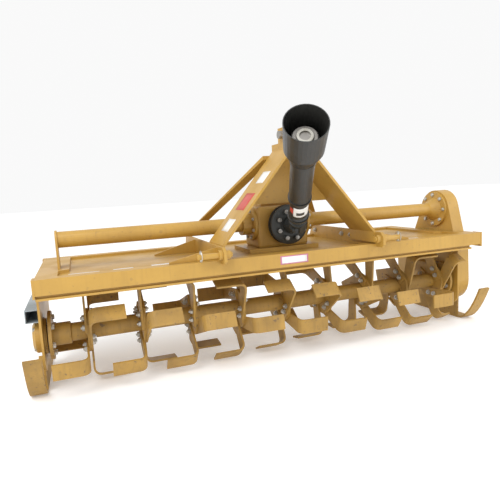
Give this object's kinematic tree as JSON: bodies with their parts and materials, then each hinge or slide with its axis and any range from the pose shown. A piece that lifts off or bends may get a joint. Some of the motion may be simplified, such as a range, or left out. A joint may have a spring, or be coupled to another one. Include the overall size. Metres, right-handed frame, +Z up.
{
  "type": "rotary_tiller",
  "caption": "Tractor rotary tiller: deck under a tubular side drive and central gearbox, A-frame mast with lower pins, bladed rotor, skid shoes and a telescoping guarded driveline.",
  "frame": {"origin": "centre of the bounding box in plan, on the ground under the skid soles", "axes": "+X to the machine's right seen from behind, along the rotor; +Y to the rear, away from the tractor; +Z up"},
  "size_m": [2.0952, 1.1312, 0.964],
  "materials": {
    "yellow_paint": "satin",
    "black_paint": "satin",
    "black_plastic": "matte",
    "bare_steel": "machined",
    "galvanised": "galvanised"
  },
  "bodies": {
    "frame": {"front_beam": "yellow_paint", "front_lip": "yellow_paint", "rear_beam": "yellow_paint", "deck_panel": "yellow_paint", "end_cover_left": "yellow_paint", "end_cover_right": "yellow_paint", "side_plate_left": "yellow_paint", "side_plate_right": "yellow_paint", "gear_case": "yellow_paint", "bearing_housing_left": "yellow_paint", "bearing_housing_right": "yellow_paint", "bearing_cap_left": "yellow_paint", "skid_left": "yellow_paint", "skid_right": "yellow_paint", "side_rail": "galvanised", "drive_tube_left": "yellow_paint", "drive_tube_right": "yellow_paint", "tube_bracket": "yellow_paint", "gearbox": "yellow_paint", "hitch_rail_left": "yellow_paint", "hitch_rail_right": "yellow_paint", "hitch_pin_left": "yellow_paint", "hitch_pin_right": "yellow_paint", "mast_plate_left": "yellow_paint", "mast_plate_right": "yellow_paint", "top_pin": "bare_steel", "mast_web": "yellow_paint", "brace_left": "yellow_paint", "brace_right": "yellow_paint"},
    "rotor": {"rotor_tube": "yellow_paint", "tine_plate_1": "yellow_paint", "tine_plate_2": "yellow_paint", "tine_plate_3": "yellow_paint", "tine_plate_4": "yellow_paint", "tine_plate_5": "yellow_paint", "tine_plate_6": "yellow_paint", "tine_plate_7": "yellow_paint", "tine_plate_8": "yellow_paint", "tine_plate_9": "yellow_paint"},
    "clutch": {"slip_clutch": "black_paint", "clutch_yoke": "black_paint"},
    "driveline": {"guard_lower": "black_plastic"},
    "driveline_shaft": {"shaft_lower": "black_paint"},
    "driveline_outer": {"guard_upper": "black_plastic"},
    "driveline_coupling": {"shaft_upper": "bare_steel"}
  },
  "joints": [
    {"name": "rotor_spin", "type": "hinge", "parent": "frame", "child": "rotor", "pos_m": [-0.00765, 0.1456, 0.211], "axis": [1, 0, 0], "continuous": true},
    {"name": "clutch_spin", "type": "hinge", "parent": "frame", "child": "clutch", "pos_m": [0.02735, -0.0094, 0.564], "axis": [0, 1, 0], "continuous": true},
    {"name": "driveline_lift", "type": "hinge", "parent": "frame", "child": "driveline", "pos_m": [0.02735, -0.0094, 0.564], "axis": [1, 0, 0], "range_deg": [-8, 40]},
    {"name": "driveline_slide", "type": "slide", "parent": "driveline", "child": "driveline_outer", "axis": [-0.3163, -0.7908, 0.524], "range_m": [-0.04, 0.08]},
    {"name": "lower_shaft_spin", "type": "hinge", "parent": "driveline", "child": "driveline_shaft", "pos_m": [0.02735, -0.0094, 0.564], "axis": [-0.3163, -0.7908, 0.524], "continuous": true},
    {"name": "coupling_spin", "type": "hinge", "parent": "driveline_outer", "child": "driveline_coupling", "pos_m": [0.02735, -0.0094, 0.564], "axis": [-0.3163, -0.7908, 0.524], "continuous": true}
  ],
  "couplings": [
    {"joint": "clutch_spin", "follows": "rotor_spin", "ratio": 2.5},
    {"joint": "lower_shaft_spin", "follows": "rotor_spin", "ratio": -2.5},
    {"joint": "coupling_spin", "follows": "rotor_spin", "ratio": -2.5}
  ]
}
